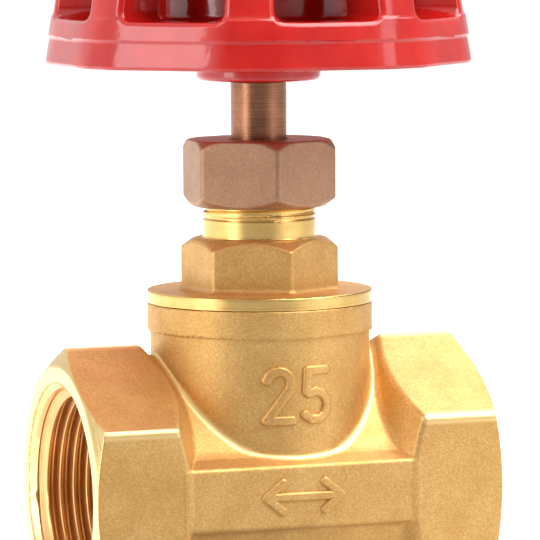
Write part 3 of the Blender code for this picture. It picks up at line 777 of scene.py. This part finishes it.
def body_rubs_and_highlights(look):
    """One where the casting's colour is lightened: the hexagon's corners, rubbed and with a
    painted highlight, and the foot of the neck, a painted highlight along its fillet.
    """
    x, y, z = look.axes()
    up, down = (0.0, 1.0), (1.0, 0.0)
    neck = look.radius(x, y)
    corner = look.math("MULTIPLY", look.span(look.radius(y, z), *CORNER_R, *up),
                       look.span(look.math("MULTIPLY", x, x), *CORNER_X_SQUARED, *up))
    foot = look.math("MULTIPLY", look.span(neck, *FOOT_R_RISE, *up),
                     look.span(neck, *FOOT_R_FALL, *down))
    height = look.math("MULTIPLY", look.span(z, *FOOT_Z_RISE, *up),
                       look.span(z, *FOOT_Z_FALL, *down))
    return look.math("MAXIMUM", corner, look.math("MULTIPLY", foot, height))


TOOL_MARKS, STAINS = 6.0, 0.25  # per mm


def turned_metal(name, dark, light, rough, rings_x=False):
    """Lathe-cut metal: fine grooves round the x or the z axis that catch the light."""
    look = Look(name, light, rough, 1.0)
    x, y, z = look.axes()
    axial, radial = (x, look.radius(y, z)) if rings_x else (z, look.radius(x, y))
    line = look.add("ShaderNodeCombineXYZ")
    look.wire(look.math("MULTIPLY", radial, TOOL_MARKS), line.inputs[0])
    look.wire(look.math("MULTIPLY", axial, TOOL_MARKS), line.inputs[1])
    marks = look.add("ShaderNodeTexNoise")
    marks.inputs["Scale"].default_value = 1.0
    marks.inputs["Detail"].default_value = 3.0
    look.wire(line.outputs[0], marks.inputs["Vector"])
    groove = marks.outputs["Fac"]
    tone = look.weighed((groove, 0.5), (look.noise(STAINS, 3.0, 0.6), 0.5))
    look.colour(look.ramp(tone, [(0.36, dark), (0.6, light)]))
    look.roughness(look.span(groove, 0.3, 0.7, rough - 0.05, rough + 0.08))
    look.normal(look.bump(groove, 0.02, 0.5))
    return look.mat


def enamel(name, colour, deep):
    """Thick gloss paint with a faint orange peel."""
    look = Look(name, colour, 0.16, Coat_Weight=0.6, Coat_Roughness=0.05, Coat_IOR=1.5)
    cloud = look.noise(0.12, 2.0)
    look.colour(look.mix(look.span(cloud, 0.35, 0.65, 0.0, 1.0), colour, deep))
    look.roughness(look.span(look.noise(0.6, 3.0), 0.3, 0.7, 0.12, 0.2))
    peel = look.bump(look.noise(0.28, 2.0), 0.22, 0.35)
    look.normal(peel)
    look.wire(peel, look.shader.inputs["Coat Normal"])
    return look.mat


def matt(name, dark, light, rough, per_mm=2.0, metallic=0.0):
    """Plain surface with a slight mottle."""
    look = Look(name, light, rough, metallic)
    n = look.noise(per_mm, 4.0, 0.6)
    look.colour(look.ramp(n, [(0.35, dark), (0.65, light)]))
    look.roughness(look.span(n, 0.3, 0.7, rough - 0.06, rough + 0.06))
    look.normal(look.bump(n, 0.06, 0.5))
    return look.mat


BRASS_TONES = (0.56, 0.31, 0.09), (0.68, 0.39, 0.125), (0.86, 0.60, 0.25)
COPPER_TONES = (0.36, 0.19, 0.105), (0.44, 0.245, 0.145), (0.55, 0.34, 0.22)
# the body's brass is lightened by the mask: rubbed hexagon corners with a painted highlight, and
# a painted highlight at the neck's foot
BRASS = blasted("brass_blasted", *BRASS_TONES, 0.49, 0.76, body_rubs_and_highlights)
BRASS_MARK = blasted("brass_mark", *BRASS_TONES, 0.46, 0.76)
BRASS_CUT = turned_metal("brass_machined", (0.80, 0.56, 0.22), (0.93, 0.70, 0.32), 0.22, True)
# a deeper orange copy of the machined brass, for the thread inside the socket: painted shade and
# painted reflection of the brass around it
BRASS_THREAD_SHADED = turned_metal("brass_threaded", (0.76, 0.42, 0.17), (0.88, 0.52, 0.22), 0.30, True)
BRASS_LATHE = turned_metal("brass_lathe", (0.72, 0.45, 0.14), (0.87, 0.58, 0.21), 0.20)
COPPER = blasted("copper_blasted", *COPPER_TONES, 0.46, 0.75)
STEM = turned_metal("stem_bronze", (0.25, 0.11, 0.06), (0.39, 0.18, 0.105), 0.26)
RED = enamel("red_enamel", (0.62, 0.016, 0.010), (0.52, 0.010, 0.008))
ZINC = matt("zinc_steel", (0.55, 0.56, 0.58), (0.72, 0.73, 0.75), 0.28, 1.2, 1.0)
PTFE = matt("ptfe_ring", (0.78, 0.78, 0.73), (0.88, 0.88, 0.84), 0.5)
FIBRE = matt("gasket_fibre", (0.10, 0.15, 0.13), (0.18, 0.25, 0.22), 0.8, 3.0)
GRAPHITE = matt("packing_braid", (0.03, 0.03, 0.032), (0.08, 0.08, 0.085), 0.7, 1.6)


# --------------------------------------------------------------------------
# pieces
# --------------------------------------------------------------------------
# limits of the machined zones; the skins are how far under a surface its faces may lie
END_SKIN, FACE_SKIN, TOP_SKIN = 0.06, 0.1, 0.05
BORED_R, BORED_NECK_R, BORED_X = 17.5, 17.0, 20.0
FLANGE_EDGE_R, FLANGE_UNDER_Z, TOWER_ZONE_R, BONNET_BORE_R = 18.2, 29.9, 9.75, 9.0


def body_zone(x, y, z):
    """1 where the body is machined: bevelled ends, bores and the top of the neck."""
    ax, rho, rv = np.abs(x), np.hypot(y, z), np.hypot(x, y)
    bevel = slant(ax - FACE_X, rho - END_BEVEL_R, END_BEVEL) > -END_SKIN
    end = bevel | (ax > FACE_X - FACE_SKIN)
    inner = (rho < BORED_R) & ((rv < BORED_NECK_R) | (ax > BORED_X))
    return end | inner | (z > NECK_TOP - TOP_SKIN)


def bonnet_zone(x, y, z):
    """1 where the bonnet is turned: the flange's edge and underside, the tower, the bores."""
    rv = np.hypot(x, y)
    tower = (rv < TOWER_ZONE_R) & (z > BONNET_HEX_TOP + 0.1)
    flange = (rv > FLANGE_EDGE_R) | (z < FLANGE_UNDER_Z)
    return flange | tower | (rv < BONNET_BORE_R)


body = surface(
    "valve_casting", body_field, (-36, -22, -25), (36, 22, 31), 0.32,
    "valve_body", [BRASS, BRASS_CUT], 0.23, body_zone)
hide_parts("body")
surface("size_mark", mark_field, (-8, -20, 9), (8, -10, 23), 0.16,
        "valve_body", [BRASS_MARK], 0.5)
surface("flow_arrow", arrow_field, (-8, -22, -4), (8, -19, 4), 0.14,
        "valve_body", [BRASS_MARK], 0.5)
thread_sleeve("thread_left", -SLEEVE_HIGH, -SLEEVE_LOW, 0.65)
thread_sleeve("thread_right", SLEEVE_LOW, SLEEVE_HIGH, 0.2)
bonnet = surface(
    "bonnet_casting", bonnet_field, (-20, -20, 22.5), (20, 20, 54), 0.25,
    "valve_body", [BRASS, BRASS_LATHE], 0.3, bonnet_zone)
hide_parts("bonnet")
nut = surface(
    "gland_nut", nut_field, (-15, -15, 44), (15, 15, 58), 0.22,
    "gland_nut", [COPPER], 0.35)
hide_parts("packing_nut")
stem = surface(
    "spindle_rod", stem_field, (-8, -8, 9.5), (8, 8, 90), 0.2,
    "spindle", [STEM], 0.3)
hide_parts("stem")
wedge = surface(
    "gate_wedge", wedge_field, (-9, -13, -13), (9, 13, 17.5), 0.3,
    "gate", [BRASS_CUT], 0.3)
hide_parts("wedge")
wheel = surface(
    "handwheel_casting", wheel_field, (-37, -37, 64), (37, 37, 92), 0.36,
    "spindle", [RED], 0.35)
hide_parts("handwheel")
wheel_nut = surface(
    "wheel_nut", hex_nut_field, (-7, -7, 82.5), (7, 7, 90), 0.18,
    "spindle", [ZINC], 0.6)
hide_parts("handwheel_nut")
washer = surface(
    "wheel_washer", washer_field, (-9, -9, 79.5), (9, 9, 83), 0.2,
    "spindle", [ZINC], 0.5)
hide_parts("handwheel_washer")
spring = surface(
    "wheel_spring_washer", split_washer_field, (-6.5, -6.5, 81), (6.5, 6.5, 84.5), 0.15,
    "spindle", [ZINC], 0.6)
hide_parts("handwheel_spring_washer")

for node, look in (
    ("bonnet_gasket", FIBRE), ("stem_retainer", BRASS_LATHE), ("thrust_washer", PTFE),
    ("packing_ring_lower", GRAPHITE), ("packing_ring_middle", GRAPHITE),
    ("packing_ring_upper", GRAPHITE), ("gland_follower", BRASS_LATHE),
):
    for slot in bpy.data.objects[node].material_slots:
        slot.material = look


# --------------------------------------------------------------------------
# floor, light and camera
# --------------------------------------------------------------------------
# how white the studio is by compass point: 0 at the front, degrees towards +X
COMPASS = (
    (-180, 0.85), (-170, 0.90), (-66, 0.90), (-52, 0.15), (8, 0.15), (34, 0.52), (66, 0.52),
    (84, 0.34), (120, 0.38), (150, 0.80), (180, 0.85),
)
FLOOR_HALF, FLOOR_GAP, FLOOR_GLOW = 30.0, 0.0004, 0.52  # m, m, emission where it is whitest
FLOOR_DULL, FLOOR_WHITE = (0.26, 0.26, 0.26), (0.93, 0.93, 0.93)
SKY_FROM, SKY_TO, SKY_WHITE = 0.15, 0.75, 0.9  # the studio whitens upwards between two heights


def wired(tree, kind, feeds, **settings):
    """A node with those inputs set from sockets or fixed to numbers."""
    node = tree.nodes.new(kind)
    for key, value in settings.items():
        setattr(node, key, value)
    for key, value in feeds.items():
        if isinstance(value, (int, float)):
            node.inputs[key].default_value = value
        else:
            tree.links.new(value, node.inputs[key])
    return node


def stretched(tree, value, low, high, top):
    """value, with its range low to high stretched to 0 to top and held there."""
    feeds = {"Value": value, "From Min": low, "From Max": high, "To Min": 0.0, "To Max": top}
    return wired(tree, "ShaderNodeMapRange", feeds).outputs[0]


def around(tree, direction):
    """Whiteness of the studio in a direction, from the COMPASS table."""
    split = wired(tree, "ShaderNodeSeparateXYZ", {0: direction})
    ahead = wired(tree, "ShaderNodeMath", {0: split.outputs[1], 1: -1.0}, operation="MULTIPLY")
    feeds = {0: split.outputs[0], 1: ahead.outputs[0]}
    angle = wired(tree, "ShaderNodeMath", feeds, operation="ARCTAN2")
    turn = stretched(tree, angle.outputs[0], -math.pi, math.pi, 1.0)
    ramp = wired(tree, "ShaderNodeValToRGB", {0: turn})
    marks = ramp.color_ramp.elements
    while len(marks) < len(COMPASS):
        marks.new(0.5)
    for mark, (degrees, white) in zip(marks, COMPASS):
        mark.position = (degrees + 180) / 360
        mark.color = (white, white, white, 1)
    return ramp.outputs[0]


def floor():
    """White sweep, dull in a wedge before the valve where the camera keeps light off."""
    mesh = bpy.data.meshes.new("floor")
    form = bmesh.new()
    bmesh.ops.create_grid(form, x_segments=1, y_segments=1, size=FLOOR_HALF)
    form.to_mesh(mesh)
    form.free()
    ob = bpy.data.objects.new("floor", mesh)
    ob.location = (0, 0, CAD_BOX[0][2] - FLOOR_GAP)
    bpy.context.scene.collection.objects.link(ob)
    look = Look("floor_white", FLOOR_WHITE, 0.9, Emission_Color=(1, 1, 1, 1))
    white = around(look.tree, look.point)
    look.colour(look.mix(white, FLOOR_DULL, FLOOR_WHITE))
    look.wire(look.math("MULTIPLY", white, FLOOR_GLOW), look.shader.inputs["Emission Strength"])
    mesh.materials.append(look.mat)


def area(name, at, aim, size, power):
    """Rectangular lamp at a point, facing aim, in metres and watts."""
    lamp = bpy.data.lights.new(name, "AREA")
    lamp.shape = "RECTANGLE"
    lamp.size, lamp.size_y = size
    lamp.energy = power
    ob = bpy.data.objects.new(name, lamp)
    bpy.context.scene.collection.objects.link(ob)
    ob.location = at
    ob.rotation_euler = (Vector(aim) - Vector(at)).to_track_quat("-Z", "Y").to_euler()


def backdrop():
    """Studio surroundings: white all round but on the camera's side."""
    world = bpy.context.scene.world or bpy.data.worlds.new("World")
    bpy.context.scene.world = world
    world.use_nodes = True
    tree = world.node_tree
    direction = tree.nodes.new("ShaderNodeTexCoord").outputs["Generated"]
    split = wired(tree, "ShaderNodeSeparateXYZ", {0: direction})
    height = stretched(tree, split.outputs[2], SKY_FROM, SKY_TO, SKY_WHITE)
    feeds = {0: height, 1: around(tree, direction)}
    level = wired(tree, "ShaderNodeMath", feeds, operation="MAXIMUM")
    glow = tree.nodes["Background"]
    tree.links.new(level.outputs[0], glow.inputs["Strength"])
    glow.inputs["Color"].default_value = (1, 1, 1, 1)


floor()
backdrop()
area("softbox_left", (-1.36, -0.32, 0.42), (0, 0, 0.04), (0.5, 0.9), 4.4)
area("softbox_right", (0.92, -1.04, 0.52), (0, 0, 0.04), (0.35, 0.9), 1.8)
area("key", (0.60, -0.60, 1.12), (0, 0, 0.02), (1.1, 1.0), 18.0)
area("overhead", (0.48, 0.48, 1.25), (0, 0, 0.04), (1.2, 1.2), 10.5)
bpy.context.scene.view_settings.view_transform = "Standard"

# camera: metres from the origin, degrees off the -Y axis towards -X, degrees up, then how
# it is turned from facing the origin, in degrees
AWAY, SIDE, UP = 0.668, 20.04, 8.207
YAW, TILT, ROLL = 0.149, 2.963, -0.299
SENSOR, LENS = 36.0, 269.8  # mm


def photo_camera():
    """Long lens a little above the flow axis, seen from the port on the left."""
    side, up = math.radians(SIDE), math.radians(UP)
    yaw, tilt, roll = math.radians(YAW), math.radians(TILT), math.radians(ROLL)
    at = AWAY * Vector((
        -math.sin(side) * math.cos(up), -math.cos(side) * math.cos(up), math.sin(up)))
    ahead = -at.normalized()
    right = ahead.cross(Vector((0, 0, 1))).normalized()
    above = right.cross(ahead)
    look = (ahead * math.cos(yaw) * math.cos(tilt) + right * math.sin(yaw) * math.cos(tilt)
            + above * math.sin(tilt))
    right = look.cross(Vector((0, 0, 1))).normalized()
    above = right.cross(look)
    across = right * math.cos(roll) + above * math.sin(roll)
    top = above * math.cos(roll) - right * math.sin(roll)
    data = bpy.data.cameras.new("camera")
    data.sensor_width = SENSOR
    data.lens = LENS
    data.clip_start = 0.05
    data.clip_end = 100.0
    ob = bpy.data.objects.new("camera", data)
    bpy.context.scene.collection.objects.link(ob)
    ob.matrix_world = Matrix((
        (across.x, top.x, -look.x, at.x), (across.y, top.y, -look.y, at.y),
        (across.z, top.z, -look.z, at.z), (0, 0, 0, 1),
    ))
    bpy.context.scene.camera = ob


photo_camera()
